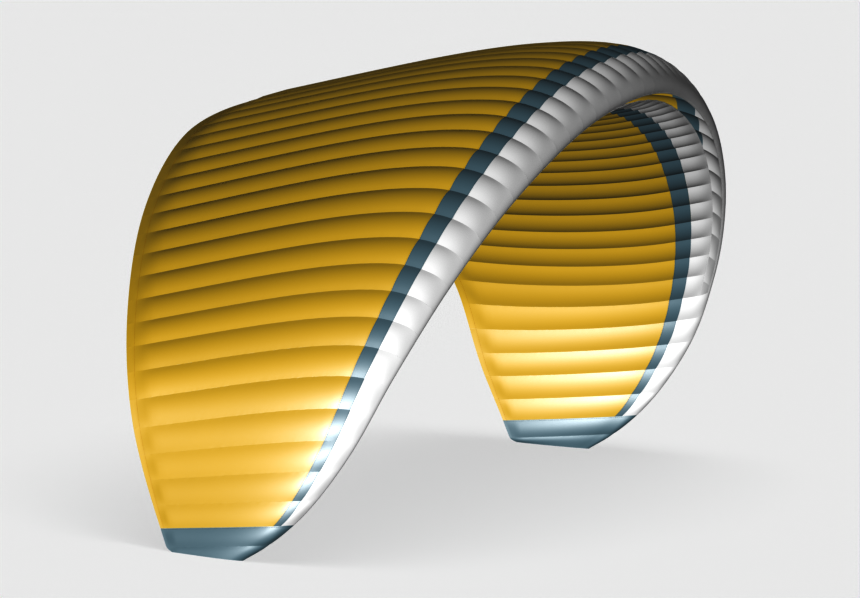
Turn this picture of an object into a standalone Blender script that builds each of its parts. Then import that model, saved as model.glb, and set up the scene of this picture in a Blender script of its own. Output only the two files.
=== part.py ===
"""An inflated paraglider wing, standing on the flat ends of its two tips.

Metres and degrees, +Z up. +X is the way the wing flies, +Y is its left, and the origin is on the ground
under the middle of its box. The wing is a row of cells between ribs, and each rib stands across the arc.
A place on the wing is two numbers: how many cells it is from the middle, negative on the right, and how
far it is round the rib, from 1 at the upper trailing edge through 0 at the nose to -1 at the lower
trailing edge. The share of the chord behind the nose is the square of the second number.
"""

import math
from collections import namedtuple

import bpy
import numpy as np
from mathutils import Matrix

# The wing's plan: one row for each station between the middle and a tip. cell is its distance from the
# middle in cells, arc the length of cloth along the span, lean the tilt of the span there, setback how far
# its nose lies behind the middle's, and twist how far its nose is turned outwards.
Station = namedtuple("Station", "cell arc lean chord setback twist")
STATIONS = (
    Station(0.0, 0.000, 0.0, 2.646, 0.000, 0.2),
    Station(5.0, 1.518, 9.4, 2.662, 0.065, 0.1),
    Station(10.0, 2.991, 18.9, 2.463, 0.211, 0.9),
    Station(14.5, 4.292, 32.2, 2.085, 0.442, 0.8),
    Station(18.0, 5.072, 50.5, 1.740, 0.671, 1.4),
    Station(21.0, 5.639, 77.6, 1.373, 0.942, 6.0),
    Station(23.5, 6.052, 88.5, 0.921, 1.276, 7.1),
    Station(25.5, 6.235, 90.0, 0.481, 1.638, 9.0),
)
TIP_RIB = 23.5
END_RIB = 25.5
SLOT_END_RIB = 18.5
UPPER_JOIN_RIB = 0.5
LOWER_JOIN_RIB = 7.5
INCIDENCE = 7.5

# The rib's outline, in shares of its chord. REFLEX is how far the camber line is let down two thirds of the
# way back.
THICKNESS = 0.171
CAMBER = 0.0245
CAMBER_PLACE = 0.157
REFLEX = 0.0135
HEM_HALF = 0.0024

# Seams across the chord, in shares of it behind the nose.
UPPER_MAIN_SEAM = 0.118
UPPER_NOSE_SEAM = 0.0697
LOWER_NOSE_SEAM = 0.109
LOWER_MAIN_SEAM = 0.161
HEM_LINE = 0.97
LEVEL_LINE = 0.90
UPPER_LIP = 0.010
LOWER_LIP = 0.040
UPPER_ROWS = (0.70, 0.48, 0.28)
LOWER_ROWS = (0.26, 0.42, 0.66)
NOSE_ROWS_ABOVE = (0.040, 0.0144, 0.0025, 0.0)
NOSE_ROWS_BELOW = (0.0025, UPPER_LIP, LOWER_LIP, 0.070)

# The front edge of each rib along the slot, which stands back from the nose so that the air can spread.
# around is how far round the rib a corner stands, and inset how far it keeps in from the skin, in shares of
# the chord. The corner at the back has no inset, because it stands on the camber line.
Cut = namedtuple("Cut", "around inset")
FRONT_EDGE = (
    Cut(0.545, 0.035),
    Cut(0.566, None),
    Cut(-0.530, 0.035),
)

SKIN = 0.002
RIB = 0.003
FOOT = 0.004
SEAM_GAP = 0.0004
TIP_SEAM_CELLS = 0.003
JOIN_SEAM_CELLS = 0.0006
RIB_CLEARANCE = 0.0012
RIB_TAIL = 0.96
BALLOON = 0.08
SMOOTH_ABOVE = (0.06, 0.25)
SMOOTH_BELOW = (0.17, 0.30)

YELLOW = (0.708, 0.371, 0.005, 1.0)
SLATE = (0.051, 0.117, 0.156, 1.0)
WHITE = (0.830, 0.830, 0.830, 1.0)

FINE_STEPS = 1021


def curve_through(rows, values, at, mirrored=1.0):
    """A smooth curve through one column of the stations. mirrored is its sign on the other half."""
    places = np.concatenate([[-rows[1]], rows])
    heights = np.concatenate([[mirrored * values[1]], values])
    slopes = np.gradient(heights, places)
    index = np.clip(np.searchsorted(places, at, side="right") - 1, 0, len(places) - 2)
    width = places[index + 1] - places[index]
    t = (at - places[index]) / width
    start = (1 + 2 * t) * (1 - t) ** 2 * heights[index] + t * (1 - t) ** 2 * width * slopes[index]
    finish = t * t * (3 - 2 * t) * heights[index + 1] + t * t * (t - 1) * width * slopes[index + 1]
    return start + finish


def plan_of_wing():
    """Every column of the stations at fine steps, with the arc's own y and z added up from its lean."""
    table = np.array(STATIONS)
    columns = dict(zip(Station._fields, table.T))
    cell = np.linspace(0.0, END_RIB, FINE_STEPS)
    rows = columns["cell"]
    plan = {"cell": cell}
    for name in ("chord", "setback", "twist"):
        plan[name] = curve_through(rows, columns[name], cell)
    arc = curve_through(rows, columns["arc"], cell, mirrored=-1.0)
    lean = curve_through(rows, columns["lean"], cell, mirrored=-1.0)
    steps = np.diff(arc)
    middle = np.radians((lean[1:] + lean[:-1]) / 2)
    plan["lean"] = lean
    plan["width"] = np.gradient(arc, cell)
    plan["y"] = np.concatenate([[0.0], np.cumsum(steps * np.cos(middle))])
    plan["z"] = np.concatenate([[0.0], np.cumsum(-steps * np.sin(middle))])
    return plan


PLAN = plan_of_wing()


def planned(name, cells):
    return np.interp(np.abs(cells), PLAN["cell"], PLAN[name])


def half_thickness(share):
    curve = 0.2969 * np.sqrt(share) - 0.126 * share - 0.3516 * share**2 + 0.2843 * share**3 - 0.1036 * share**4
    return 5 * THICKNESS * curve


def camber(share):
    let_down = share**2 * (1 - share) * 27 / 4  # 1 at two thirds of the chord
    front = (2 * CAMBER_PLACE * share - share**2) / CAMBER_PLACE**2
    back = (1 - 2 * CAMBER_PLACE + 2 * CAMBER_PLACE * share - share**2) / (1 - CAMBER_PLACE) ** 2
    return CAMBER * np.where(share < CAMBER_PLACE, front, back) - REFLEX * let_down


def rib_frame(cells):
    """The nose point, the directions forward and outward, and the chord of the rib plane at each place."""
    side = np.sign(cells)
    lean = np.radians(planned("lean", cells)) * side
    twist = np.radians(planned("twist", cells))
    zero = np.zeros_like(lean)
    nose = np.stack([-planned("setback", cells), side * planned("y", cells), planned("z", cells)], -1)
    normal = np.stack([zero, np.sin(lean), np.cos(lean)], -1)
    ahead = np.stack([zero + 1.0, zero, zero], -1)
    cosine = np.cos(twist)[..., None]
    sine = np.sin(twist)[..., None]
    forward = cosine * ahead + sine * normal
    outward = cosine * normal - sine * ahead
    return nose, forward, outward, planned("chord", cells)


def rib_line(cells, around):
    """Points on the ribs' outline, with no bulge between the ribs."""
    nose, forward, outward, chord = rib_frame(cells)
    share = around**2
    height = camber(share) * chord + np.sign(around) * (half_thickness(share) * chord + HEM_HALF * share)
    return nose - (share * chord)[..., None] * forward + height[..., None] * outward


def facing(cells, around):
    """The direction out of the cloth."""
    step = 1e-4
    along = rib_line(cells + step, around) - rib_line(cells - step, around)
    across = rib_line(cells, around + step) - rib_line(cells, around - step)
    normal = np.cross(along, across)
    return normal / np.linalg.norm(normal, axis=-1, keepdims=True)


def eased(value):
    value = np.clip(value, 0.0, 1.0)
    return value * value * (3 - 2 * value)


def bulge(cells, around):
    """How far the air pushes the cloth out of the rib lines: most in the middle of each cell, none at the
    hem and round the front of the nose."""
    from_middle = np.abs((cells + END_RIB) % 1.0 - 0.5) * 2
    near_hem = eased((HEM_LINE - around**2) / (HEM_LINE - LEVEL_LINE))
    first, last = (np.where(around < 0, below, above) for below, above in zip(SMOOTH_BELOW, SMOOTH_ABOVE))
    near_nose = eased((np.abs(around) - first) / (last - first))
    return BALLOON * planned("width", cells) * (1 - from_middle**2) * near_hem * near_nose


def cloth(cells, around, depth=0.0):
    """Points of the inflated wing's cloth, at a depth below its outer face."""
    cells, around = np.broadcast_arrays(np.asarray(cells, float), np.asarray(around, float))
    offset = bulge(cells, around) - depth
    return rib_line(cells, around) + offset[..., None] * facing(cells, around)


def turn(share, side, nudge=0.0):
    """A row of the cloth as its place round the rib: side is 1 above and -1 below, and nudge moves it back
    by that many metres."""

    def at(cells):
        return side * np.sqrt(share + nudge / planned("chord", cells))

    return at


def rows_at(shares, side):
    return [turn(share, side) for share in shares]


UPPER_MAIN_ROWS = rows_at((1.0, HEM_LINE, LEVEL_LINE) + UPPER_ROWS, 1)
UPPER_MAIN_ROWS += [turn(UPPER_MAIN_SEAM, 1, SEAM_GAP / 2)]
UPPER_BAND_ROWS = [turn(UPPER_MAIN_SEAM, 1, -SEAM_GAP / 2), turn(UPPER_NOSE_SEAM, 1, SEAM_GAP / 2)]
NOSE_ROWS = [turn(UPPER_NOSE_SEAM, 1, -SEAM_GAP / 2)]
NOSE_ROWS += rows_at(NOSE_ROWS_ABOVE, 1)
NOSE_ROWS += rows_at(NOSE_ROWS_BELOW, -1)
NOSE_ROWS += [turn(LOWER_NOSE_SEAM, -1, -SEAM_GAP / 2)]
SLOT_ROW = 1 + len(NOSE_ROWS_ABOVE) + NOSE_ROWS_BELOW.index(UPPER_LIP)
LOWER_BAND_ROWS = [turn(LOWER_NOSE_SEAM, -1, SEAM_GAP / 2), turn(LOWER_MAIN_SEAM, -1, -SEAM_GAP / 2)]
LOWER_MAIN_ROWS = [turn(LOWER_MAIN_SEAM, -1, SEAM_GAP / 2)]
LOWER_MAIN_ROWS += rows_at(LOWER_ROWS + (LEVEL_LINE, HEM_LINE, 1.0), -1)
TIP_ROWS = rows_at((1.0, HEM_LINE, LEVEL_LINE) + UPPER_ROWS + (UPPER_MAIN_SEAM,), 1)
TIP_ROWS += rows_at(NOSE_ROWS_ABOVE[:2] + (0.0,), 1)
TIP_ROWS += rows_at((LOWER_LIP, LOWER_MAIN_SEAM) + LOWER_ROWS[1:] + (LEVEL_LINE, HEM_LINE, 1.0), -1)


def columns_between(first, last):
    """Two steps to a cell, from one rib to another, just short of both."""
    columns = np.arange(first, last + 0.25, 0.5)
    columns[0] += TIP_SEAM_CELLS if first == -TIP_RIB else JOIN_SEAM_CELLS
    columns[-1] -= TIP_SEAM_CELLS if last == TIP_RIB else JOIN_SEAM_CELLS
    return columns


def grid_points(columns, rows, depth):
    around = np.stack([row(columns) for row in rows], axis=1)
    return cloth(columns[:, None], around, depth)


def turned(faces):
    return [tuple(reversed(face)) for face in faces]


def halves(patch, from_second=False):
    """A four-cornered patch as two triangles, so that both faces of the cloth fold along one diagonal."""
    first, second, third, fourth = patch
    if from_second:
        return [(first, second, fourth), (second, third, fourth)]
    return [(first, second, third), (first, third, fourth)]


def sheet(name, rows, colour, first=-TIP_RIB, last=TIP_RIB, open_row=None):
    """A sheet of cloth from one rib to another, as a closed solid. open_row is left out along the slot."""
    columns = columns_between(first, last)
    outer = grid_points(columns, rows, 0.0)
    inner = grid_points(columns, rows, SKIN)
    across = len(rows)
    inner_start = outer.shape[0] * across

    def corner(column, row):
        return column * across + row

    patches = []
    for column in range(len(columns) - 1):
        middle = (columns[column] + columns[column + 1]) / 2
        for row in range(across - 1):
            if row == open_row and abs(middle) < SLOT_END_RIB:
                continue
            patches.append(
                (
                    corner(column, row),
                    corner(column + 1, row),
                    corner(column + 1, row + 1),
                    corner(column, row + 1),
                )
            )
    edges = {}
    for patch in patches:
        for start, end in zip(patch, patch[1:] + patch[:1]):
            edges[(start, end)] = (end, start) not in edges
            if (end, start) in edges:
                edges[(end, start)] = False
    triangles = []
    for patch in patches:
        triangles += halves(patch, from_second=columns[patch[0] // across] < 0)
    faces = turned(triangles)
    faces += [tuple(inner_start + point for point in triangle) for triangle in triangles]
    for (start, end), is_border in edges.items():
        if is_border:
            faces.append((start, end, inner_start + end, inner_start + start))
    points = np.concatenate([outer.reshape(-1, 3), inner.reshape(-1, 3)])
    return solid(name, points, faces, colour)


def level_foot(ring, height):
    """The end of a tip, trimmed so that it is level once the wing has its incidence."""
    middle = (ring[:, 0].min() + ring[:, 0].max()) / 2
    trimmed = ring.copy()
    trimmed[:, 2] += height - (ring[:, 0] - middle) * math.tan(math.radians(INCIDENCE))
    return trimmed


def tip(name, side):
    """The last cells of one side as a cup: skins above and below in one, closed by the flat foot."""
    columns = side * np.arange(TIP_RIB, END_RIB + 0.25, 0.5)
    columns[0] += side * TIP_SEAM_CELLS
    outer = grid_points(columns, TIP_ROWS, 0.0)
    inner = grid_points(columns, TIP_ROWS[1:-1], SKIN)
    outer[-1] = level_foot(outer[-1], 0.0)
    inner[-1] = level_foot(inner[-1], FOOT)
    around = len(TIP_ROWS)
    inside = around - 2
    inner_start = outer.shape[0] * around
    last = len(columns) - 1
    faces = []
    for column in range(last):
        here = column * around
        there = here + around
        for row in range(around):
            after = (row + 1) % around
            faces += halves((here + row, here + after, there + after, there + row))
        here = inner_start + column * inside
        there = here + inside
        for row in range(inside):
            after = (row + 1) % inside
            faces += turned(halves((here + row, here + after, there + after, there + row)))
    mouth = [(row + 1, row, inner_start + row - 1, inner_start + row) for row in range(1, around - 2)]
    hem = (0, around - 1, around - 2, inner_start + inside - 1, inner_start, 1)
    faces += mouth + [hem]
    faces.append(tuple(last * around + row for row in range(around)))
    faces.append(tuple(inner_start + last * inside + row for row in reversed(range(inside))))
    if side < 0:
        faces = turned(faces)
    points = np.concatenate([outer.reshape(-1, 3), inner.reshape(-1, 3)])
    return solid(name, points, faces, SLATE)


def rib_outline(cell):
    """(around, inset) of each corner of a rib, from its upper hem round the front to its lower hem. The inset
    is from the edge that lies under the skin, in metres, and None is on the camber line."""
    chord = float(planned("chord", cell))
    above = (RIB_TAIL, LEVEL_LINE) + UPPER_ROWS
    below = LOWER_ROWS[1:] + (LEVEL_LINE, RIB_TAIL)
    front = []
    if abs(cell) < SLOT_END_RIB:
        below = LOWER_ROWS[:1] + below
        front += [(cut.around, None if cut.inset is None else cut.inset * chord) for cut in FRONT_EDGE]
    else:
        above += (UPPER_MAIN_SEAM,) + NOSE_ROWS_ABOVE[:2]
        below = (LOWER_LIP, LOWER_MAIN_SEAM) + below
        front.append((0.0, 0.0))
    outline = [(math.sqrt(share), 0.0) for share in above] + front
    return outline + [(-math.sqrt(share), 0.0) for share in below]


def rib(name, cell):
    """A flat sheet across the arc, held between the skins. Where the skins slant across it, its edge keeps
    back so that neither face of the sheet meets them."""
    cells = np.array([cell])
    nose, forward, outward, chord = (value[0] for value in rib_frame(cells))
    across = np.cross(outward, forward)
    corners = []
    for around, inset in rib_outline(cell):
        if inset is None:
            corners.append(nose - around**2 * chord * forward + float(camber(around**2)) * chord * outward)
            continue
        normal = facing(cells, np.array([around]))[0]
        in_plane = normal - across * np.dot(normal, across)
        length = np.linalg.norm(in_plane)
        slant = math.sqrt(1 - length**2) / length
        distance = (SKIN + RIB_CLEARANCE) / length + RIB * slant + inset
        corners.append(rib_line(cells, np.array([around]))[0] - distance / length * in_plane)
    corners = np.array(corners)
    count = len(corners)
    points = np.concatenate([corners + across * RIB / 2, corners - across * RIB / 2])
    faces = [tuple(range(count)), tuple(reversed(range(count, 2 * count)))]
    for start in range(count):
        end = (start + 1) % count
        faces.append((end, start, count + start, count + end))
    return solid(name, points, faces, WHITE)


def cloth_material(colour):
    name = {YELLOW: "yellow_cloth", SLATE: "slate_cloth", WHITE: "white_cloth"}[colour]
    found = bpy.data.materials.get(name)
    if found:
        return found
    material = bpy.data.materials.new(name)
    material.diffuse_color = colour
    material.use_nodes = True
    shader = material.node_tree.nodes["Principled BSDF"]
    shader.inputs["Base Color"].default_value = colour
    shader.inputs["Roughness"].default_value = 0.45
    return material


def solid(name, points, faces, colour):
    mesh = bpy.data.meshes.new(name)
    mesh.from_pydata([tuple(point) for point in points], [], faces)
    mesh.materials.append(cloth_material(colour))
    mesh.update()
    piece = bpy.data.objects.new(name, mesh)
    bpy.context.collection.objects.link(piece)
    return piece


def stand(pieces):
    """Gives the wing its incidence and puts the middle of its box over the origin, on the ground."""
    tilt = Matrix.Rotation(-math.radians(INCIDENCE), 4, "Y")
    points = [tilt @ vertex.co for piece in pieces for vertex in piece.data.vertices]
    forward = [point.x for point in points]
    middle = (min(forward) + max(forward)) / 2
    holder = bpy.data.objects.new("wing", None)
    bpy.context.collection.objects.link(holder)
    holder.location = (-middle, 0.0, -min(point.z for point in points))
    holder.rotation_euler = (0.0, -math.radians(INCIDENCE), 0.0)
    for piece in pieces:
        piece.parent = holder


def main():
    for old in list(bpy.data.objects):
        bpy.data.objects.remove(old)
    pieces = [
        sheet("upper_right", UPPER_MAIN_ROWS, YELLOW, last=UPPER_JOIN_RIB),
        sheet("upper_left", UPPER_MAIN_ROWS, YELLOW, first=UPPER_JOIN_RIB),
        sheet("upper_band", UPPER_BAND_ROWS, SLATE),
        sheet("nose", NOSE_ROWS, WHITE, open_row=SLOT_ROW),
        sheet("lower_band", LOWER_BAND_ROWS, SLATE),
        sheet("lower_right", LOWER_MAIN_ROWS, YELLOW, last=-LOWER_JOIN_RIB),
        sheet("lower_middle", LOWER_MAIN_ROWS, YELLOW, first=-LOWER_JOIN_RIB, last=LOWER_JOIN_RIB),
        sheet("lower_left", LOWER_MAIN_ROWS, YELLOW, first=LOWER_JOIN_RIB),
        tip("tip_right", -1),
        tip("tip_left", 1),
    ]
    for number, cell in enumerate(np.arange(1 - END_RIB, END_RIB - 0.5, 1.0), start=1):
        pieces.append(rib(f"rib_{number:02d}", cell))
    stand(pieces)


main()
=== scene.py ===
import math

import bmesh
import bpy
import numpy as np
from mathutils import Matrix, Vector


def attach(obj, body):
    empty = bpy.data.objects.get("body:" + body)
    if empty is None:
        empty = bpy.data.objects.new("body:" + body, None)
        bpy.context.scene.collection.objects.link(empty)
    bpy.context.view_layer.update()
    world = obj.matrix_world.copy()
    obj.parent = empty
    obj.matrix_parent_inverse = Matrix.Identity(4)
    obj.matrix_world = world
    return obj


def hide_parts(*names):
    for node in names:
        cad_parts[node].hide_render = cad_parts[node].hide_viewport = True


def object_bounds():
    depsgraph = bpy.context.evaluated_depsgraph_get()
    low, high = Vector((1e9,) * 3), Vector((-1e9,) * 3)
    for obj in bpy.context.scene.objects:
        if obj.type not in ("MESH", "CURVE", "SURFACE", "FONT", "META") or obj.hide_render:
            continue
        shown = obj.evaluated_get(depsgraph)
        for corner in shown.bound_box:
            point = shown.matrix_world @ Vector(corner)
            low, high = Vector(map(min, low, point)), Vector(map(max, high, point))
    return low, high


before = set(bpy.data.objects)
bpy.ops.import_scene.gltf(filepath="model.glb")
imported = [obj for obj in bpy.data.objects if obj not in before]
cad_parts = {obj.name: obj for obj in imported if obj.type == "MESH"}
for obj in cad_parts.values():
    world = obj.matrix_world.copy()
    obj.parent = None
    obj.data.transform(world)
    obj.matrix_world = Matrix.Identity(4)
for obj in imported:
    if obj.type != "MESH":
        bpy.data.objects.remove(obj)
cadLow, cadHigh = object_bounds()
print("frame loaded:", len(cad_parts), "nodes")

# The wing's plan, in metres and degrees. cell is the distance from the middle in cells, arc the cloth along
# the span, lean the tilt of the span, setback how far the nose lies back and twist how far it turns out.
wing = {
    "columns": ("cell", "arc", "lean", "chord", "setback", "twist"),
    "stations": (
        (0.0, 0.000, 0.0, 2.646, 0.000, 0.2),
        (5.0, 1.518, 9.4, 2.662, 0.065, 0.1),
        (10.0, 2.991, 18.9, 2.463, 0.211, 0.9),
        (14.5, 4.292, 32.2, 2.085, 0.442, 0.8),
        (18.0, 5.072, 50.5, 1.740, 0.671, 1.4),
        (21.0, 5.639, 77.6, 1.373, 0.942, 6.0),
        (23.5, 6.052, 88.5, 0.896, 1.300, 7.1),
        (24.5, 6.172, 89.6, 0.690, 1.468, 8.0),
        (25.5, 6.235, 90.0, 0.481, 1.638, 9.0),
    ),
    "tipRib": 23.5,
    "endRib": 25.5,
    "slotEndRib": 18.5,
    "incidence": 7.5,
    "thickness": 0.171,
    "camber": 0.0245,
    "camberPlace": 0.157,
    "reflex": 0.0135,
    "hemHalf": 0.0024,
    "hemLine": 0.97,  # behind it the two skins are one flat hem
    "levelLine": 0.925,  # the bulge fades from here to the hem
    "smoothAbove": (0.06, 0.25),  # round the rib: no bulge before the first, the whole bulge past the second
    "smoothBelow": (0.17, 0.30),
    "balloon": 0.08,
    "cloth": 0.002,
    "fineSteps": 1021,
    "ringSteps": 201,
    "outlineSteps": 4001,
    "nudge": 1e-4,  # the step for slopes across the cloth
}
# The thickness curve of a four-digit aerofoil section: the factors of the root and of the powers 1 to 4.
sectionCurve = (0.2969, -0.126, -0.3516, 0.2843, -0.1036)
sectionScale = 5
reflexScale = 27 / 4  # brings the reflex's own peak, two thirds of the way back, to 1


def curveThrough(rows, values, at, mirrored=1.0):
    places = np.concatenate([[-rows[1]], rows])
    heights = np.concatenate([[mirrored * values[1]], values])
    slopes = np.gradient(heights, places)
    index = np.clip(np.searchsorted(places, at, side="right") - 1, 0, len(places) - 2)
    width = places[index + 1] - places[index]
    t = (at - places[index]) / width
    start = (1 + 2 * t) * (1 - t) ** 2 * heights[index] + t * (1 - t) ** 2 * width * slopes[index]
    finish = t * t * (3 - 2 * t) * heights[index + 1] + t * t * (t - 1) * width * slopes[index + 1]
    return start + finish


def planOfWing():
    columns = dict(zip(wing["columns"], np.array(wing["stations"]).T))
    cell = np.linspace(0.0, wing["endRib"], wing["fineSteps"])
    rows = columns["cell"]
    plan = {"cell": cell}
    for name in ("chord", "setback", "twist"):
        plan[name] = curveThrough(rows, columns[name], cell)
    for name in ("arc", "lean"):
        plan[name] = curveThrough(rows, columns[name], cell, mirrored=-1.0)
    steps = np.diff(plan["arc"])
    middle = np.radians((plan["lean"][1:] + plan["lean"][:-1]) / 2)
    plan["width"] = np.gradient(plan["arc"], cell)
    plan["y"] = np.concatenate([[0.0], np.cumsum(steps * np.cos(middle))])
    plan["z"] = np.concatenate([[0.0], np.cumsum(-steps * np.sin(middle))])
    return plan


plan = planOfWing()


def planned(name, cells):
    return np.interp(np.abs(cells), plan["cell"], plan[name])


def halfThickness(share):
    root, first, second, third, fourth = sectionCurve
    curve = root * np.sqrt(share) + first * share + second * share**2 + third * share**3 + fourth * share**4
    return sectionScale * wing["thickness"] * curve


def camberLine(share):
    place = wing["camberPlace"]
    letDown = share**2 * (1 - share) * reflexScale
    front = (2 * place * share - share**2) / place**2
    back = (1 - 2 * place + 2 * place * share - share**2) / (1 - place) ** 2
    return wing["camber"] * np.where(share < place, front, back) - wing["reflex"] * letDown


def ribFrame(cells):  # nose point, forward, outward and chord of the rib plane at each place
    side = np.sign(cells)
    lean = np.radians(planned("lean", cells)) * side
    twist = np.radians(planned("twist", cells))[..., None]
    zero = np.zeros_like(lean)
    nose = np.stack([-planned("setback", cells), side * planned("y", cells), planned("z", cells)], -1)
    normal = np.stack([zero, np.sin(lean), np.cos(lean)], -1)
    ahead = np.stack([zero + 1.0, zero, zero], -1)
    forward = np.cos(twist) * ahead + np.sin(twist) * normal
    outward = np.cos(twist) * normal - np.sin(twist) * ahead
    return nose, forward, outward, planned("chord", cells)


def ribLine(cells, around):  # around is 1 at the upper hem, 0 at the nose and -1 at the lower hem
    nose, forward, outward, chord = ribFrame(cells)
    share = around**2
    half = halfThickness(share) * chord + wing["hemHalf"] * share
    height = camberLine(share) * chord + np.sign(around) * half
    return nose - (share * chord)[..., None] * forward + height[..., None] * outward


def facing(cells, around):
    step = wing["nudge"]
    along = ribLine(cells + step, around) - ribLine(cells - step, around)
    across = ribLine(cells, around + step) - ribLine(cells, around - step)
    normal = np.cross(along, across)
    return normal / np.linalg.norm(normal, axis=-1, keepdims=True)


def eased(value):
    value = np.clip(value, 0.0, 1.0)
    return value * value * (3 - 2 * value)


def slack(cells, around):  # the cell's width where it can bulge, down to none at the hem and the nose
    nearHem = eased((wing["hemLine"] - around**2) / (wing["hemLine"] - wing["levelLine"]))
    atSlot = (around < 0) & (np.abs(cells) < wing["slotEndRib"])
    first, last = (np.where(atSlot, wing["smoothBelow"][end], wing["smoothAbove"][end]) for end in (0, 1))
    nearNose = eased((np.abs(around) - first) / (last - first))
    return planned("width", cells) * nearHem * nearNose


def bulge(cells, around):
    fromMiddle = np.abs((cells + wing["endRib"]) % 1.0 - 0.5) * 2
    return wing["balloon"] * slack(cells, around) * (1 - fromMiddle**2)


def levelled(cells, around, points):  # the last cell of each tip comes down level on the ground
    steps = wing["ringSteps"]
    ring = ribLine(np.full(steps, wing["endRib"]), np.linspace(1, -1, steps))[:, 0]
    middle = (ring.min() + ring.max()) / 2
    share = np.clip(np.abs(cells) - wing["endRib"] + 1, 0, 1)
    end = ribLine(np.full_like(cells, wing["endRib"]), around)[..., 0]
    points[..., 2] -= share * (end - middle) * math.tan(math.radians(wing["incidence"]))
    return points


def onGround(points):  # from the wing's own frame to the row's: nosed up, over the origin, on its feet
    pitch = math.radians(wing["incidence"])
    x = points[..., 0] * math.cos(pitch) - points[..., 2] * math.sin(pitch)
    z = points[..., 0] * math.sin(pitch) + points[..., 2] * math.cos(pitch)
    return np.stack([x, points[..., 1], z], -1) + groundOffset


def turnedOnGround(vectors):
    return onGround(vectors) - groundOffset


groundOffset = np.zeros(3)
foot = np.full(1, wing["endRib"]), np.zeros(1)
footPoint = onGround(levelled(*foot, ribLine(*foot)))[0]
groundOffset = np.array([cadHigh[0], 0.0, -footPoint[2]])


def outlineLength():  # metres of cloth round a rib of one metre, from the nose to each place
    around = np.linspace(-1, 1, wing["outlineSteps"])
    share = around**2
    height = camberLine(share) + np.sign(around) * halfThickness(share)
    steps = np.hypot(np.diff(share), np.diff(height))
    length = np.concatenate([[0.0], np.cumsum(steps)])
    return around, length - length[wing["outlineSteps"] // 2]


outline = outlineLength()
print("wing plan: span", round(2 * float(plan["arc"][-1]), 2), "m of cloth")


def call(tree, kind, settings=None, **inputs):  # adds a node, sets it up and links or fills its inputs
    node = tree.nodes.new(kind)
    for name, value in (settings or {}).items():
        setattr(node, name, value)
    for name, value in inputs.items():
        fill(tree, node.inputs[name.replace("_", " ")], value)
    return node


def fill(tree, socket, value):
    if isinstance(value, bpy.types.NodeSocket):
        tree.links.new(value, socket)
    else:
        socket.default_value = value


def calc(tree, operation, *values):
    node = tree.nodes.new("ShaderNodeMath")
    node.operation = operation
    for socket, value in zip(node.inputs, values):
        fill(tree, socket, value)
    return node.outputs[0]


def newTree(name, kind, inputs, outputs):
    tree = bpy.data.node_groups.new(name, kind)
    for direction, sockets in (("INPUT", inputs), ("OUTPUT", outputs)):
        for label, socketType, value in sockets:
            socket = tree.interface.new_socket(name=label, in_out=direction, socket_type=socketType)
            if value is not None:
                socket.default_value = value
    start = tree.nodes.new("NodeGroupInput")
    end = tree.nodes.new("NodeGroupOutput")
    return tree, start.outputs, end.inputs


def baked(name, mesh, tree, inputs, thickness=0.0):  # runs a node tree on the mesh and keeps a plain mesh
    rough = bpy.data.objects.new(name + "Rough", mesh)
    bpy.context.scene.collection.objects.link(rough)
    if tree:
        modifier = rough.modifiers.new(tree.name, "NODES")
        modifier.node_group = tree
        for item in tree.interface.items_tree:
            if item.item_type == "SOCKET" and item.in_out == "INPUT" and item.name in inputs:
                modifier[item.identifier] = inputs[item.name]
    if thickness:
        wall = rough.modifiers.new("clothThickness", "SOLIDIFY")
        wall.thickness = thickness
        wall.offset = -1.0
        wall.use_even_offset = False
    bpy.context.view_layer.update()
    graph = bpy.context.evaluated_depsgraph_get()
    finished = bpy.data.meshes.new_from_object(rough.evaluated_get(graph), depsgraph=graph)
    bpy.data.objects.remove(rough)
    finished.name = name
    piece = bpy.data.objects.new(name, finished)
    bpy.context.scene.collection.objects.link(piece)
    return piece


def addAttribute(mesh, name, kind, values):
    attribute = mesh.attributes.new(name, kind, "POINT")
    field = "vector" if kind == "FLOAT_VECTOR" else "value"
    attribute.data.foreach_set(field, np.asarray(values, np.float32).ravel())


def inflateCells():  # pushes the cloth out between the ribs by the share of the cell's width that is slack
    tree, given, made = newTree(
        "inflateCells",
        "GeometryNodeTree",
        [("Geometry", "NodeSocketGeometry", None), ("Balloon", "NodeSocketFloat", 0.1),
         ("Cloth", "NodeSocketMaterial", None)],
        [("Geometry", "NodeSocketGeometry", None)],
    )

    def named(name, kind="FLOAT"):
        node = call(tree, "GeometryNodeInputNamedAttribute", {"data_type": kind}, Name=name)
        return node.outputs["Attribute"]

    within = calc(tree, "FRACT", calc(tree, "ADD", named("cell"), 0.5))
    fromMiddle = calc(tree, "MULTIPLY", calc(tree, "ABSOLUTE", calc(tree, "SUBTRACT", within, 0.5)), 2.0)
    profile = calc(tree, "SUBTRACT", 1.0, calc(tree, "POWER", fromMiddle, 2.0))
    lift = calc(tree, "MULTIPLY", calc(tree, "MULTIPLY", profile, named("slack")), given["Balloon"])
    push = call(tree, "ShaderNodeVectorMath", {"operation": "SCALE"})
    tree.links.new(named("outward", "FLOAT_VECTOR"), push.inputs[0])
    tree.links.new(lift, push.inputs["Scale"])
    moved = call(tree, "GeometryNodeSetPosition", Geometry=given["Geometry"], Offset=push.outputs[0])
    smooth = call(tree, "GeometryNodeSetShadeSmooth", Geometry=moved.outputs[0])
    covered = call(tree, "GeometryNodeSetMaterial", Geometry=smooth.outputs[0], Material=given["Cloth"])
    tree.links.new(covered.outputs[0], made["Geometry"])
    return tree


stitchSizes = (0.85, 1.1)


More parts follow.
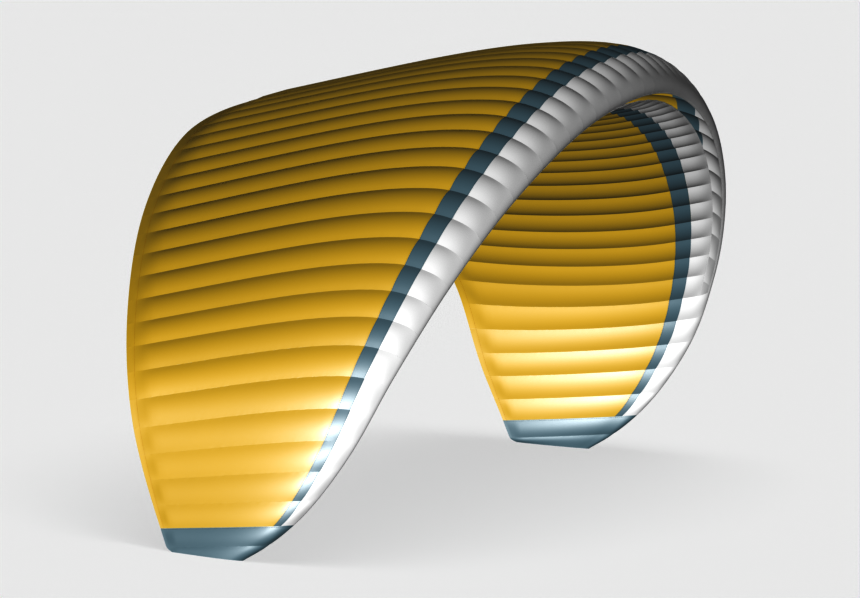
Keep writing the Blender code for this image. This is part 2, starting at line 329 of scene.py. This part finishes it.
def sewnLine():  # stitches along the edges of a mesh of lines, lying on the face that "outward" gives
    tree, given, made = newTree(
        "sewnLine",
        "GeometryNodeTree",
        [("Geometry", "NodeSocketGeometry", None), ("Pitch", "NodeSocketFloat", 0.012),
         ("Length", "NodeSocketFloat", 0.008), ("Thread", "NodeSocketFloat", 0.001),
         ("Seed", "NodeSocketInt", 7), ("Material", "NodeSocketMaterial", None)],
        [("Geometry", "NodeSocketGeometry", None)],
    )
    curve = call(tree, "GeometryNodeMeshToCurve", Mesh=given["Geometry"])
    spaced = call(tree, "GeometryNodeResampleCurve", Curve=curve.outputs[0])
    spaced.mode = "LENGTH"
    tree.links.new(given["Pitch"], spaced.inputs["Length"])
    tangent = tree.nodes.new("GeometryNodeInputTangent").outputs[0]
    outward = call(tree, "GeometryNodeInputNamedAttribute", {"data_type": "FLOAT_VECTOR"}, Name="outward")
    kept = call(tree, "GeometryNodeCaptureAttribute", Geometry=spaced.outputs[0])
    kept.capture_items.new("VECTOR", "tangent")
    kept.capture_items.new("VECTOR", "outward")
    tree.links.new(tangent, kept.inputs["tangent"])
    tree.links.new(outward.outputs["Attribute"], kept.inputs["outward"])
    along = call(tree, "FunctionNodeAlignEulerToVector", {"axis": "X"}, Vector=kept.outputs["tangent"])
    upright = call(tree, "FunctionNodeAlignEulerToVector", {"axis": "Z", "pivot_axis": "X"},
                   Rotation=along.outputs[0], Vector=kept.outputs["outward"])
    thread = call(tree, "GeometryNodeMeshCube")
    size = call(tree, "ShaderNodeCombineXYZ", X=given["Length"], Y=given["Thread"], Z=given["Thread"])
    tree.links.new(size.outputs[0], thread.inputs["Size"])
    uneven = call(tree, "FunctionNodeRandomValue", {"data_type": "FLOAT"})
    for socket, size in zip(uneven.inputs[2:4], stitchSizes):
        fill(tree, socket, size)
    tree.links.new(given["Seed"], uneven.inputs["Seed"])
    placed = call(tree, "GeometryNodeInstanceOnPoints", Points=kept.outputs[0], Instance=thread.outputs[0],
                  Rotation=upright.outputs[0])
    tree.links.new(uneven.outputs[1], placed.inputs["Scale"])
    real = call(tree, "GeometryNodeRealizeInstances", Geometry=placed.outputs[0])
    covered = call(tree, "GeometryNodeSetMaterial", Geometry=real.outputs[0], Material=given["Material"])
    tree.links.new(covered.outputs[0], made["Geometry"])
    return tree


inflateTree = inflateCells()
sewnTree = sewnLine()


def weaveGroup():  # ripstop: the thicker threads that run through it in a grid, on the cloth's own map
    tree, given, made = newTree(
        "ripstopWeave",
        "ShaderNodeTree",
        [("Map", "NodeSocketVector", None), ("Grid", "NodeSocketFloat", 0.006),
         ("Thread", "NodeSocketFloat", 0.16)],
        [("Lines", "NodeSocketFloat", None)],
    )
    place = call(tree, "ShaderNodeSeparateXYZ", Vector=given["Map"])
    ridges = []
    for axis in ("X", "Y"):
        steps = calc(tree, "DIVIDE", place.outputs[axis], given["Grid"])
        toLine = calc(tree, "ABSOLUTE", calc(tree, "SUBTRACT", calc(tree, "FRACT", steps), 0.5))
        ridges.append(calc(tree, "LESS_THAN", toLine, calc(tree, "MULTIPLY", given["Thread"], 0.5)))
    lines = calc(tree, "MAXIMUM", *ridges)
    tree.links.new(lines, made["Lines"])
    return tree


toneClouds = {"scale": 3.0, "detail": 3.0}


def toneGroup():  # each panel's own slight tone, with soft clouds over it
    tree, given, made = newTree(
        "panelTone",
        "ShaderNodeTree",
        [("Map", "NodeSocketVector", None), ("Cell", "NodeSocketFloat", 0.0),
         ("Panels", "NodeSocketFloat", 0.04), ("Clouds", "NodeSocketFloat", 0.04)],
        [("Tone", "NodeSocketFloat", None)],
    )
    number = calc(tree, "FLOOR", calc(tree, "ADD", given["Cell"], 0.5))
    own = call(tree, "ShaderNodeTexWhiteNoise", {"noise_dimensions": "1D"}, W=number)
    clouds = call(tree, "ShaderNodeTexNoise", Vector=given["Map"], Scale=toneClouds["scale"],
                  Detail=toneClouds["detail"])
    panel = calc(tree, "MULTIPLY", calc(tree, "SUBTRACT", own.outputs["Value"], 0.5), given["Panels"])
    cloud = calc(tree, "MULTIPLY", calc(tree, "SUBTRACT", clouds.outputs[0], 0.5), given["Clouds"])
    tree.links.new(calc(tree, "ADD", calc(tree, "ADD", panel, cloud), 1.0), made["Tone"])
    return tree


# keptToSeam is how steeply the gathers fade away from a seam, and apart keeps its two sides from matching.
puckers = {"keptToSeam": 6.0, "apart": 7.3}


def puckerGroup():  # the small gathers that sewing leaves beside a seam
    tree, given, made = newTree(
        "seamPucker",
        "ShaderNodeTree",
        [("Map", "NodeSocketVector", None), ("Cell", "NodeSocketFloat", 0.0),
         ("Pitch", "NodeSocketFloat", 0.05)],
        [("Height", "NodeSocketFloat", None)],
    )
    within = calc(tree, "FRACT", calc(tree, "ADD", given["Cell"], 0.5))
    fromMiddle = calc(tree, "MULTIPLY", calc(tree, "ABSOLUTE", calc(tree, "SUBTRACT", within, 0.5)), 2.0)
    nearSeam = calc(tree, "POWER", fromMiddle, puckers["keptToSeam"])
    place = call(tree, "ShaderNodeSeparateXYZ", Vector=given["Map"])
    along = calc(tree, "DIVIDE", place.outputs["Y"], given["Pitch"])
    side = calc(tree, "FLOOR", calc(tree, "MULTIPLY", given["Cell"], 2.0))
    gathers = call(tree, "ShaderNodeTexNoise", {"noise_dimensions": "2D"}, Scale=1.0, Detail=1.0)
    spot = call(tree, "ShaderNodeCombineXYZ", X=along, Y=calc(tree, "MULTIPLY", side, puckers["apart"]))
    tree.links.new(spot.outputs[0], gathers.inputs["Vector"])
    tree.links.new(calc(tree, "MULTIPLY", gathers.outputs[0], nearSeam), made["Height"])
    return tree


weaveTree = weaveGroup()
toneTree = toneGroup()
puckerTree = puckerGroup()

plainSheen = (1.0, 1.0, 1.0, 1)
finishes = {
    "yellowCloth": {"slot": "yellow_cloth", "colour": (0.822, 0.550, 0.001, 1), "line": 0.96, "index": 2.35,
                    "sheen": (0.34, 0.58, 1.0, 1)},
    "slateCloth": {"slot": "slate_cloth", "colour": (0.123, 0.213, 0.256, 1), "line": 0.94, "index": 2.1,
                   "sheen": plainSheen},
    "whiteCloth": {"slot": "white_cloth", "colour": (0.804, 0.804, 0.804, 1), "line": 0.97, "index": 1.7,
                   "sheen": plainSheen},
    "ribCloth": {"slot": "rib_cloth", "colour": (0.720, 0.720, 0.710, 1), "line": 0.97, "index": 1.7,
                 "sheen": plainSheen},
}
weave = {"grid": 0.006, "thread": 0.16, "panels": 0.03, "clouds": 0.03, "puckerPitch": 0.05,
         "roughness": 0.56, "lineRoughness": 0.05, "lineHeight": 0.00006, "puckerHeight": 0.002, "bump": 0.6}
threadLook = {"grain": 900.0, "darkest": 0.75, "spread": 0.5, "roughness": 0.6}


def clothMaterial(name):
    finish = finishes[name]
    material = bpy.data.materials.new(name)
    material.use_nodes = True
    tree = material.node_tree
    shader = tree.nodes["Principled BSDF"]
    cloth = call(tree, "ShaderNodeUVMap", {"uv_map": "cloth"}).outputs[0]
    cell = call(tree, "ShaderNodeAttribute", {"attribute_name": "cell"}).outputs["Fac"]
    woven = call(tree, "ShaderNodeGroup", {"node_tree": weaveTree}, Map=cloth, Grid=weave["grid"],
                 Thread=weave["thread"])
    tone = call(tree, "ShaderNodeGroup", {"node_tree": toneTree}, Map=cloth, Cell=cell,
                Panels=weave["panels"], Clouds=weave["clouds"])
    pucker = call(tree, "ShaderNodeGroup", {"node_tree": puckerTree}, Map=cloth, Cell=cell,
                  Pitch=weave["puckerPitch"])
    darker = calc(tree, "MULTIPLY", woven.outputs["Lines"], 1 - finish["line"])
    lineTone = calc(tree, "SUBTRACT", 1.0, darker)
    whole = calc(tree, "MULTIPLY", tone.outputs["Tone"], lineTone)
    shade = call(tree, "ShaderNodeVectorMath", {"operation": "SCALE"})
    shade.inputs[0].default_value = finish["colour"][:3]
    tree.links.new(whole, shade.inputs["Scale"])
    tree.links.new(shade.outputs[0], shader.inputs["Base Color"])
    rougher = calc(tree, "MULTIPLY", woven.outputs["Lines"], weave["lineRoughness"])
    rough = calc(tree, "ADD", weave["roughness"], rougher)
    tree.links.new(rough, shader.inputs["Roughness"])
    height = calc(tree, "ADD", calc(tree, "MULTIPLY", woven.outputs["Lines"], weave["lineHeight"]),
                  calc(tree, "MULTIPLY", pucker.outputs["Height"], weave["puckerHeight"]))
    bump = call(tree, "ShaderNodeBump", Strength=weave["bump"], Distance=1.0, Height=height)
    tree.links.new(bump.outputs[0], shader.inputs["Normal"])
    shader.inputs["IOR"].default_value = finish["index"]
    shader.inputs["Specular Tint"].default_value = finish["sheen"]
    shader.inputs["Specular IOR Level"].default_value = 1.0
    material.diffuse_color = finish["colour"]
    return material


def threadMaterial(name, colour):
    material = bpy.data.materials.new(name)
    material.use_nodes = True
    tree = material.node_tree
    shader = tree.nodes["Principled BSDF"]
    place = call(tree, "ShaderNodeTexCoord").outputs["Object"]
    twist = call(tree, "ShaderNodeTexNoise", Vector=place, Scale=threadLook["grain"])
    shade = call(tree, "ShaderNodeVectorMath", {"operation": "SCALE"})
    shade.inputs[0].default_value = colour
    lighter = calc(tree, "MULTIPLY", twist.outputs[0], threadLook["spread"])
    tree.links.new(calc(tree, "ADD", threadLook["darkest"], lighter), shade.inputs["Scale"])
    tree.links.new(shade.outputs[0], shader.inputs["Base Color"])
    shader.inputs["Roughness"].default_value = threadLook["roughness"]
    return material


materials = {name: clothMaterial(name) for name in finishes}
threads = {
    "yellowCloth": threadMaterial("yellowThread", (0.50, 0.25, 0.004)),
    "slateCloth": threadMaterial("slateThread", (0.035, 0.075, 0.10)),
    "whiteCloth": threadMaterial("whiteThread", (0.62, 0.62, 0.62)),
}
print("materials:", len(materials) + len(threads))


seams = {"upperMain": 0.118, "upperNose": 0.0697, "lowerNose": 0.109, "lowerMain": 0.161,
         "upperLip": 0.010, "lowerLip": 0.040, "gap": 0.0004, "tipGap": 0.003}


def turn(share, side=1, nudge=0.0):  # a row of the cloth as its place round each rib
    def at(cells):
        return side * np.sqrt(share + nudge / planned("chord", cells))

    return at


def runOfRows(*stops):  # stops are (turn, steps to the next stop)
    def at(cells):
        rows = []
        for (here, steps), (there, _) in zip(stops, stops[1:]):
            start, end = here(cells), there(cells)
            rows += [start + (end - start) * step / steps for step in range(steps)]
        rows.append(stops[-1][0](cells))
        return np.stack(rows, 1)

    return at


def columnsOf(first, last, perCell, gap):
    columns = np.linspace(first, last, round((last - first) * perCell) + 1)
    columns[0] += gap
    columns[-1] -= gap
    return columns


def clothMesh(name, columns, around, openRows=()):
    cells = np.broadcast_to(columns[:, None], around.shape)
    points = onGround(levelled(cells, around, ribLine(cells, around)))
    outward = turnedOnGround(facing(cells, around))
    across = around.shape[1]
    faces = []
    for column in range(len(columns) - 1):
        isSlot = abs(columns[column] + columns[column + 1]) / 2 < wing["slotEndRib"]
        for row in range(across - 1):
            if isSlot and row in openRows:
                continue
            corner = column * across + row
            faces.append((corner, corner + across, corner + across + 1, corner + 1))
    mesh = bpy.data.meshes.new(name)
    mesh.from_pydata(points.reshape(-1, 3).tolist(), [], [face[::-1] for face in faces])
    addAttribute(mesh, "cell", "FLOAT", cells)
    addAttribute(mesh, "slack", "FLOAT", slack(cells, around))
    addAttribute(mesh, "outward", "FLOAT_VECTOR", outward)
    span = np.sign(cells) * planned("arc", cells)
    length = np.interp(around, *outline) * planned("chord", cells)
    flat = np.stack([span, length], -1).reshape(-1, 2)
    corners = np.empty(len(mesh.loops), np.int32)
    mesh.loops.foreach_get("vertex_index", corners)
    layer = mesh.uv_layers.new(name="cloth")
    layer.data.foreach_set("uv", flat[corners].astype(np.float32).ravel())
    return mesh


crisp = {"angle": 35.0, "within": 0.2}  # within is the share of a step that still counts as on the rib


def markSeams(piece, perCell):  # a crisp valley along each rib, and crisp rims
    mesh = piece.data
    near = crisp["within"] / perCell
    mesh.set_sharp_from_angle(angle=math.radians(crisp["angle"]))
    cell = np.empty(len(mesh.vertices), np.float32)
    mesh.attributes["cell"].data.foreach_get("value", cell)
    onRib = np.abs((cell + wing["endRib"] + 0.5) % 1.0 - 0.5) < near
    ends = np.empty(len(mesh.edges) * 2, np.int32)
    mesh.edges.foreach_get("vertices", ends)
    ends = ends.reshape(-1, 2)
    seam = onRib[ends].all(1) & (np.abs(cell[ends[:, 0]] - cell[ends[:, 1]]) < near)
    sharp = mesh.attributes.get("sharp_edge") or mesh.attributes.new("sharp_edge", "BOOLEAN", "EDGE")
    values = np.empty(len(mesh.edges), bool)
    sharp.data.foreach_get("value", values)
    sharp.data.foreach_set("value", values | seam)
    mesh.update()


def meshArea(mesh):
    sizes = np.empty(len(mesh.polygons), np.float32)
    mesh.polygons.foreach_get("area", sizes)
    return float(sizes.sum())


lowerNodes = ("lower_right", "lower_middle", "lower_left")
skins = {
    "upperMainSkin": {
        "cloth": "yellowCloth", "nodes": ("upper_right", "upper_left"), "open": (), "flat": (12.1, 2.5),
        "rows": runOfRows((turn(1.0), 2), (turn(wing["hemLine"]), 40),
                          (turn(seams["upperMain"], 1, seams["gap"] / 2), 0)),
    },
    "upperBandSkin": {
        "cloth": "slateCloth", "nodes": ("upper_band",), "open": (), "flat": (12.1, 0.18),
        "rows": runOfRows((turn(seams["upperMain"], 1, -seams["gap"] / 2), 6),
                          (turn(seams["upperNose"], 1, seams["gap"] / 2), 0)),
    },
    "noseSkin": {
        "cloth": "whiteCloth", "nodes": ("nose",), "open": range(28, 32), "flat": (12.1, 0.8),
        "rows": runOfRows((turn(seams["upperNose"], 1, -seams["gap"] / 2), 18), (turn(0.0), 10),
                          (turn(seams["upperLip"], -1), 4), (turn(seams["lowerLip"], -1), 10),
                          (turn(seams["lowerNose"], -1, -seams["gap"] / 2), 0)),
    },
    "lowerBandSkin": {
        "cloth": "slateCloth", "nodes": ("lower_band",), "open": (), "flat": (12.1, 0.18),
        "rows": runOfRows((turn(seams["lowerNose"], -1, seams["gap"] / 2), 6),
                          (turn(seams["lowerMain"], -1, -seams["gap"] / 2), 0)),
    },
    "lowerMainSkin": {
        "cloth": "yellowCloth", "nodes": lowerNodes, "open": (), "flat": (12.1, 2.4),
        "rows": runOfRows((turn(seams["lowerMain"], -1, seams["gap"] / 2), 38),
                          (turn(wing["hemLine"], -1), 2), (turn(1.0, -1), 0)),
    },
}
skinSteps = {"perCell": 8}


def makeSkin(name, look):
    perCell = skinSteps["perCell"]
    columns = columnsOf(-wing["tipRib"], wing["tipRib"], perCell, seams["tipGap"])
    mesh = clothMesh(name, columns, look["rows"](columns), look["open"])
    inputs = {"Balloon": wing["balloon"], "Cloth": materials[look["cloth"]]}
    piece = baked(name, mesh, inflateTree, inputs, wing["cloth"])
    markSeams(piece, perCell)
    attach(piece, "root")
    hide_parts(*look["nodes"])
    return piece


pieces = {name: makeSkin(name, look) for name, look in skins.items()}
print("skins:", sum(len(piece.data.polygons) for piece in pieces.values()), "faces")


tips = {"perCell": 10, "cloth": "slateCloth", "flat": (1.9, 0.36),
        "rows": runOfRows((turn(1.0), 2), (turn(wing["hemLine"]), 40), (turn(0.0), 40),
                          (turn(wing["hemLine"], -1), 2), (turn(1.0, -1), 0))}


def makeTip(name, side, node):
    perCell = tips["perCell"]
    columns = columnsOf(wing["tipRib"], wing["endRib"], perCell, 0.0)
    columns[0] += seams["tipGap"]
    columns = side * columns
    if side < 0:
        columns = columns[::-1]
    mesh = clothMesh(name, columns, tips["rows"](columns))
    inputs = {"Balloon": wing["balloon"], "Cloth": materials[tips["cloth"]]}
    closed = closedTip(mesh, len(columns), side)
    piece = baked(name, closed, inflateTree, inputs, wing["cloth"])
    markSeams(piece, perCell)
    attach(piece, "root")
    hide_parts(node)
    return piece


def closedTip(mesh, columnCount, side):  # joins the hem's two edges and closes the level foot
    work = bmesh.new()
    work.from_mesh(mesh)
    work.verts.ensure_lookup_table()
    across = len(work.verts) // columnCount
    last = (columnCount - 1) if side > 0 else 0
    for column in range(columnCount - 1):
        here, there = column * across, (column + 1) * across
        work.faces.new([work.verts[i] for i in (here, there, there + across - 1, here + across - 1)])
    ring = [work.verts[last * across + row] for row in range(across)]
    work.faces.new(ring if side > 0 else ring[::-1])
    bmesh.ops.recalc_face_normals(work, faces=work.faces)
    work.to_mesh(mesh)
    work.free()
    return mesh


pieces["tipRight"] = makeTip("tipRight", -1, "tip_right")
pieces["tipLeft"] = makeTip("tipLeft", 1, "tip_left")


ribs = {
    "count": 50, "thickness": 0.0015, "clearance": 0.0032, "tail": 0.955, "steps": 28, "flat": (1.5, 24.0),
    "frontAbove": 0.28, "frontBelow": 0.26,
    "frontEdge": ((0.538, 0.018), (0.552, 0.045), (0.566, None), (-0.550, 0.045), (-0.522, 0.018)),
}


def ribOutline(cell):  # (around, inset) round one rib. Along the slot it stands back from the nose
    chord = float(planned("chord", cell))
    tail = math.sqrt(ribs["tail"])
    if abs(cell) > wing["slotEndRib"]:
        return [(around, 0.0) for around in np.linspace(tail, -tail, 2 * ribs["steps"])]
    upper = np.linspace(tail, math.sqrt(ribs["frontAbove"]), ribs["steps"])
    lower = np.linspace(-math.sqrt(ribs["frontBelow"]), -tail, ribs["steps"])
    front = [(around, None if inset is None else inset * chord) for around, inset in ribs["frontEdge"]]
    return [(around, 0.0) for around in upper] + front + [(around, 0.0) for around in lower]


def ribPoints(cell):
    nose, forward, outward, chord = (value[0] for value in ribFrame(np.array([cell])))
    across = np.cross(outward, forward)
    points = []
    for around, inset in ribOutline(cell):
        if inset is None:
            points.append(nose - around**2 * chord * forward + float(camberLine(around**2)) * chord * outward)
            continue
        normal = facing(np.array([cell]), np.array([around]))[0]
        inPlane = normal - across * np.dot(normal, across)
        length = np.linalg.norm(inPlane)
        slant = math.sqrt(1 - length**2) / length
        distance = ribs["clearance"] / length + ribs["thickness"] * slant + inset
        points.append(ribLine(np.array([cell]), np.array([around]))[0] - distance / length * inPlane)
    return onGround(np.array(points))


def makeRibs():
    points, faces, flats, cells = [], [], [], []
    for number in range(ribs["count"]):
        cell = 1 - wing["endRib"] + number
        ring = ribPoints(cell)
        faces.append(tuple(range(len(points), len(points) + len(ring))))
        points += ring.tolist()
        flats += [(point[0], point[2] + number) for point in ring]
        cells += [cell + 0.5] * len(ring)
    mesh = bpy.data.meshes.new("innerRibs")
    mesh.from_pydata(points, [], faces)
    addAttribute(mesh, "cell", "FLOAT", cells)
    layer = mesh.uv_layers.new(name="cloth")
    corners = np.concatenate([np.array(face) for face in faces])
    layer.data.foreach_set("uv", np.array(flats)[corners].astype(np.float32).ravel())
    mesh.materials.append(materials["ribCloth"])
    piece = baked("innerRibs", mesh, None, {}, ribs["thickness"])
    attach(piece, "root")
    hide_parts(*[f"rib_{number:02d}" for number in range(1, ribs["count"] + 1)])
    return piece


pieces["innerRibs"] = makeRibs()
print("tips and ribs made")


# Each row of stitches is (share, side, steps beside the seam, rib that it runs out to).
sewing = {"pitch": 0.014, "length": 0.010, "thread": 0.0011, "beside": 0.004, "lift": 0.0003, "perCell": 6,
          "besideTip": 0.05, "tipSteps": 240, "hem": 0.985}
sewnTo = {"skins": wing["tipRib"] - 2 * seams["tipGap"], "slot": wing["slotEndRib"]}
rows = {
    "yellowSewing": ("yellowCloth", [
        (seams["upperMain"], 1, 1, "skins"), (seams["lowerMain"], -1, 1, "skins"),
        (wing["hemLine"], 1, 1, "skins"), (wing["hemLine"], -1, 1, "skins"),
    ]),
    "slateSewing": ("slateCloth", [
        (seams["upperMain"], 1, -1, "skins"), (seams["upperNose"], 1, 1, "skins"),
        (seams["lowerNose"], -1, 1, "skins"), (seams["lowerMain"], -1, -1, "skins"),
    ]),
    "whiteSewing": ("whiteCloth", [
        (seams["upperNose"], 1, -1, "skins"), (seams["lowerNose"], -1, -1, "skins"),
        (seams["upperLip"], -1, -2, "slot"), (seams["lowerLip"], -1, 2, "slot"),
    ]),
}


def onCloth(cells, around, lift):
    points = ribLine(cells, around) + (bulge(cells, around) + lift)[..., None] * facing(cells, around)
    return onGround(points)


def seamLines(name):  # each line of stitches as its cells and its places round the ribs
    for share, side, step, reach in rows[name][1]:
        end = sewnTo[reach]
        cells = np.linspace(-end, end, round(2 * end * sewing["perCell"]))
        yield cells, turn(share, side, step * sewing["beside"])(cells)
    if name == "slateSewing":
        for side in (-1, 1):
            around = np.linspace(sewing["hem"], -sewing["hem"], sewing["tipSteps"])
            yield np.full_like(around, side * (wing["tipRib"] + sewing["besideTip"])), around


def makeSewing(name, cloth):
    points, edges, outward = [], [], []
    for cells, around in seamLines(name):
        line = onCloth(cells, around, sewing["lift"])
        edges += [(len(points) + i, len(points) + i + 1) for i in range(len(line) - 1)]
        points += line.tolist()
        outward += turnedOnGround(facing(cells, around)).tolist()
    mesh = bpy.data.meshes.new(name)
    mesh.from_pydata(points, edges, [])
    addAttribute(mesh, "outward", "FLOAT_VECTOR", outward)
    inputs = {"Pitch": sewing["pitch"], "Length": sewing["length"], "Thread": sewing["thread"],
              "Material": threads[cloth]}
    piece = baked(name, mesh, sewnTree, inputs)
    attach(piece, "root")
    return piece


for name, (cloth, _) in rows.items():
    pieces[name] = makeSewing(name, cloth)
print("sewing:", sum(len(pieces[name].data.polygons) for name in rows), "faces")


sewnOn = {"upperMainSkin": ["yellowSewing"], "upperBandSkin": ["slateSewing"], "noseSkin": ["whiteSewing"]}
for name, look in skins.items():
    cut = meshArea(pieces[name].data) / 2
    [pieces[other] for other in sewnOn.get(name, [])]
for name in ("tipRight", "tipLeft"):
    meshArea(pieces[name].data) / 2
meshArea(pieces["innerRibs"].data) / 2


studio = {
    "floorSize": 600.0, "floorColour": (0.86, 0.86, 0.86, 1), "floorRoughness": 0.9, "floorShine": 0.1,
    "floorLight": 0.8, "floorSoftness": 45.0, "floorLightFrom": (20.0, 65.0),
    "fillLight": 2.6, "fillSoftness": 10.0, "keyLight": 5.3, "keySoftness": 25.0,
    "backLight": 3.0, "backRise": 0.2, "backSoftness": 2.0, "lampDistance": 20,
    "surround": (0.90, 0.90, 0.90, 1), "gamma": 0.55,
}

# The camera looks at the wing from its right, a little ahead and above, from so far off that it is nearly
# flat. side, above and roll are in the wing's own frame, and noseAt is where the middle rib's nose shows.
view = {"side": 13.06, "above": 3.273, "roll": 2.513, "away": 182.0, "perMetre": 154.84,
        "size": (860, 598), "noseAt": (649.6, 87.0), "sensor": 36.0, "clip": (10.0, 900.0)}


def makeFloor():
    half = studio["floorSize"] / 2
    mesh = bpy.data.meshes.new("floor")
    corners = [(-half, -half, 0), (half, -half, 0), (half, half, 0), (-half, half, 0)]
    mesh.from_pydata(corners, [], [(0, 1, 2, 3)])
    material = bpy.data.materials.new("floorPaint")
    material.use_nodes = True
    shader = material.node_tree.nodes["Principled BSDF"]
    shader.inputs["Base Color"].default_value = studio["floorColour"]
    shader.inputs["Roughness"].default_value = studio["floorRoughness"]
    shader.inputs["Specular IOR Level"].default_value = studio["floorShine"]
    mesh.materials.append(material)
    floor = bpy.data.objects.new("floor", mesh)
    bpy.context.scene.collection.objects.link(floor)
    floor.visible_diffuse = floor.visible_glossy = False
    return floor


def makeSun(name, kind, towards, lit, shadow=True, shines=True):
    sun = bpy.data.lights.new(name, "SUN")
    sun.energy = studio[kind + "Light"]
    sun.angle = math.radians(studio[kind + "Softness"])
    sun.use_shadow = shadow
    lamp = bpy.data.objects.new(name, sun)
    lamp.rotation_mode = "QUATERNION"
    lamp.rotation_quaternion = Vector(towards).to_track_quat("Z", "Y")
    lamp.location = Vector(towards) * studio["lampDistance"]
    lamp.visible_glossy = shines
    bpy.context.scene.collection.objects.link(lamp)
    group = bpy.data.collections.new(name + "Lights")
    for thing in lit:
        group.objects.link(thing)
    lamp.light_linking.receiver_collection = group


def pointing(side, above):  # side turns from -Y, the wing's right, towards +X
    side, above = math.radians(side), math.radians(above)
    return math.sin(side) * math.cos(above), -math.cos(side) * math.cos(above), math.sin(above)


# The key light comes from the camera's direction, with a weaker one behind. Neither throws a shadow. The
# other two light the floor alone, and floorLight throws the wing's soft shadow on it.
def makeLights(floor):
    wingPieces = list(pieces.values())
    for piece in wingPieces:
        piece.visible_diffuse = piece.visible_glossy = False
    keyTowards = Vector(turnedOnGround(np.array(pointing(view["side"], view["above"]))))
    makeSun("keyLight", "key", keyTowards, wingPieces, shadow=False)
    makeSun("backLight", "back", -keyTowards + Vector((0, 0, studio["backRise"])), wingPieces, shadow=False,
            shines=False)
    makeSun("floorLight", "floor", pointing(*studio["floorLightFrom"]), [floor])
    makeSun("fillLight", "fill", (0.0, 0.0, 1.0), [floor], shadow=False)
    world = bpy.data.worlds.new("studio")
    world.use_nodes = True
    tree = world.node_tree
    plain = tree.nodes["Background"]
    plain.inputs["Color"].default_value = studio["surround"]
    fill(tree, plain.inputs["Strength"], call(tree, "ShaderNodeLightPath").outputs["Is Camera Ray"])
    bpy.context.scene.world = world


def makeCamera():
    side, above, roll = (math.radians(view[name]) for name in ("side", "above", "roll"))
    right = np.array([math.cos(side), math.sin(side), 0.0])
    up = np.array([-math.sin(above) * math.sin(side), math.sin(above) * math.cos(side), math.cos(above)])
    right, up = math.cos(roll) * right - math.sin(roll) * up, math.sin(roll) * right + math.cos(roll) * up
    right, up = turnedOnGround(right), turnedOnGround(up)
    back = np.cross(right, up)
    nose = onGround(np.zeros(3))
    across = (view["size"][0] / 2 - view["noseAt"][0]) / view["perMetre"]
    down = (view["size"][1] / 2 - view["noseAt"][1]) / view["perMetre"]
    centre = nose + across * right - down * up
    data = bpy.data.cameras.new("camera")
    data.sensor_width = view["sensor"]
    data.lens = view["sensor"] * view["away"] * view["perMetre"] / view["size"][0]
    data.clip_start, data.clip_end = view["clip"]
    camera = bpy.data.objects.new("camera", data)
    bpy.context.scene.collection.objects.link(camera)
    placed = Matrix(np.column_stack([right, up, back, centre + back * view["away"]]).tolist())
    camera.matrix_world = Matrix([*placed, (0, 0, 0, 1)])
    bpy.context.scene.camera = camera


makeLights(makeFloor())
makeCamera()
bpy.context.scene.view_settings.view_transform = "Standard"
bpy.context.scene.view_settings.gamma = studio["gamma"]
print("stage, light and camera set")

bpy.context.view_layer.update()
print("triangles:", sum(len(face.vertices) - 2 for piece in pieces.values()
                        for face in piece.data.polygons))
